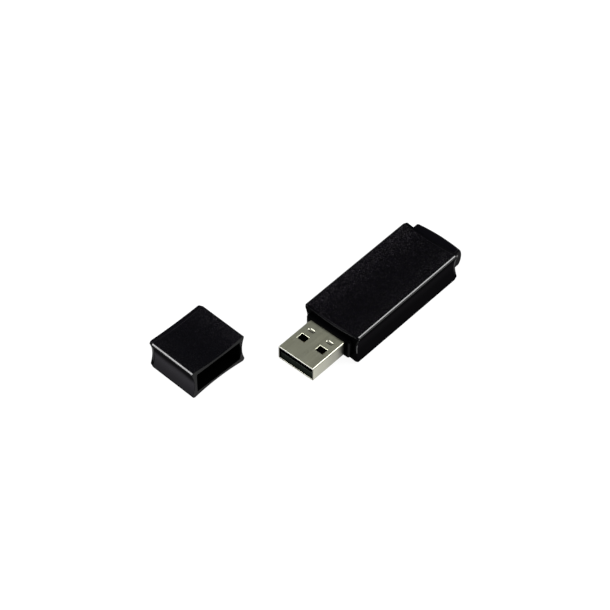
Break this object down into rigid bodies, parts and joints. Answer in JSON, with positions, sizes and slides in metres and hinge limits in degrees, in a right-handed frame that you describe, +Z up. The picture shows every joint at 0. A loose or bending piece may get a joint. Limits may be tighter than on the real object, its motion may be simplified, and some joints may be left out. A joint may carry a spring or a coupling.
{
  "type": "usb flash drive",
  "caption": "Slim black capped memory stick with dished faces, a steel type A plug, a rounded tail and its pull-off cap lying beside the plug.",
  "frame": {"origin": "on the floor, under the middle of the whole laid-out set (drive with its cap lying beside the plug)", "axes": "+X along the drive from the plug's tip to the tail, +Y across the drive towards the cap's side, +Z up"},
  "size_m": [0.082, 0.0396, 0.0096],
  "materials": {
    "sleeve_black_plastic": "fine spark-eroded satin black",
    "core_black_plastic": "smooth semi-gloss black",
    "cap_black_plastic": "fine spark-eroded satin black",
    "plated_steel": "satin nickel plate",
    "insulator_plastic": "moulded satin",
    "gold_contact": "polished gold flash",
    "board_green": "solder mask",
    "chip_epoxy": "moulded matt",
    "tinned_leads": "tin plate",
    "crystal_base": "matt ceramic",
    "crystal_steel": "satin",
    "capacitor_tan": "matt ceramic",
    "resistor_black": "glazed",
    "solder": "bright solder"
  },
  "bodies": {
    "drive": {"outer_sleeve": "sleeve_black_plastic", "core_lower_half": "core_black_plastic", "core_upper_half": "core_black_plastic", "plug_shell": "plated_steel", "plug_tongue": "insulator_plastic", "contact_vbus": "gold_contact", "contact_d_minus": "gold_contact", "contact_d_plus": "gold_contact", "contact_gnd": "gold_contact", "circuit_board": "board_green", "memory_chip_body": "chip_epoxy", "memory_chip_leads": "tinned_leads", "controller_body": "chip_epoxy", "controller_leads": "tinned_leads", "crystal_seat": "crystal_base", "crystal_can": "crystal_steel", "regulator_body": "chip_epoxy", "regulator_leads": "tinned_leads", "capacitor_bodies": "capacitor_tan", "capacitor_end_caps": "tinned_leads", "resistor_bodies": "resistor_black", "resistor_end_caps": "tinned_leads", "solder_joints": "solder"},
    "cap": {"cap": "cap_black_plastic"}
  },
  "joints": [
    {"name": "cap_swing", "type": "hinge", "parent": "drive", "child": "cap", "pos_m": [-0.01868, 0.00248, 0.0048], "axis": [0, 0, 1], "range_deg": [0, 92.25]}
  ]
}
